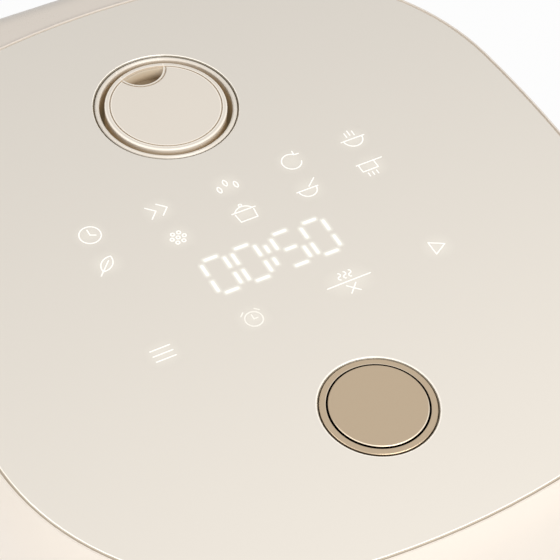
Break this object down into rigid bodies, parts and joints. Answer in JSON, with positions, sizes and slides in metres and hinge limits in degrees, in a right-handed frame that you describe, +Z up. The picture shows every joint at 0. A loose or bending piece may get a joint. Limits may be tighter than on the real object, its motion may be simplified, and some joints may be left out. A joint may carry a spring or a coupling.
{
  "type": "rice cooker",
  "caption": "Countertop rice cooker with a soft square body, rear-hinged lid under a flat touch panel, round release button, lift-off steam cap and removable inner pot.",
  "frame": {"origin": "on the table under the middle of the outer box, at the height of the feet's undersides", "axes": "+X to the user's right, +Y to the back where the hinge is, +Z up"},
  "size_m": [0.247, 0.2842, 0.2064],
  "materials": {
    "cream_plastic": "smooth satin gloss",
    "panel_glass": "gloss, painted cream on its underside",
    "bronze_metal": "satin bronze anodised",
    "grey_plastic": "fine matt",
    "dark_plastic": "matt",
    "dark_rubber": "matt",
    "silicone": "matt translucent",
    "pot_coating": "dark non-stick coating",
    "plate_aluminium": "cast, machined on top",
    "steel": "plain",
    "brass": "plain",
    "board": "circuit board with its parts",
    "white_plastic": "matt reflector white"
  },
  "bodies": {
    "base": {"outer_shell": "cream_plastic", "base_plate": "grey_plastic", "rubber_feet": "dark_rubber", "base_screws": "steel", "body_collar": "cream_plastic", "latch_keeper": "steel", "inner_pot": "pot_coating", "inner_well": "steel", "heating_plate": "plate_aluminium", "heating_element": "steel", "plate_legs": "steel", "sensor_bracket": "steel", "sensor_spring": "steel", "power_board": "board", "mains_inlet": "dark_plastic", "inlet_pins": "brass", "hinge_housing": "cream_plastic", "hinge_pin": "steel"},
    "lid": {"lid_frame": "cream_plastic", "hinge_springs": "steel", "top_panel": "panel_glass", "vent_seat": "cream_plastic", "vent_seal": "silicone", "button_bezel": "bronze_metal", "button_spring": "steel", "latch_pin": "steel", "lid_cover": "grey_plastic", "lid_screws": "steel", "inner_lid": "plate_aluminium", "lid_seal": "silicone", "lid_stud": "steel", "lid_grommet": "silicone", "lid_sensor": "steel", "light_guide": "white_plastic", "display_board": "board"},
    "steam_valve": {"steam_cap": "cream_plastic", "valve_body": "grey_plastic", "valve_gasket": "silicone"},
    "button": {"release_button": "bronze_metal", "button_plunger": "grey_plastic"},
    "latch": {"latch_lever": "grey_plastic"},
    "sensor": {"sensor_cap": "steel"}
  },
  "joints": [
    {"name": "lid_hinge", "type": "hinge", "parent": "base", "child": "lid", "pos_m": [0, 0.1249, 0.191], "axis": [-1, 0, 0], "range_deg": [0, 85]},
    {"name": "button_press", "type": "slide", "parent": "lid", "child": "button", "axis": [0, 0, -1], "range_m": [0, 0.003], "stiffness_N_per_m": 600, "springref_m": -0.002, "deforming": ["button_spring"]},
    {"name": "latch_pivot", "type": "hinge", "parent": "lid", "child": "latch", "pos_m": [0, -0.1141, 0.178], "axis": [-1, 0, 0], "range_deg": [0, 6.1]},
    {"name": "steam_lift", "type": "slide", "parent": "lid", "child": "steam_valve", "axis": [0, 0, 1], "range_m": [0, 0.04]},
    {"name": "sensor_press", "type": "slide", "parent": "base", "child": "sensor", "axis": [0, 0, -1], "range_m": [0, 0.002], "stiffness_N_per_m": 300, "springref_m": -0.004, "deforming": ["sensor_spring"]}
  ],
  "couplings": [
    {"joint": "latch_pivot", "follows": "button_press", "rad_per_m": 35}
  ]
}
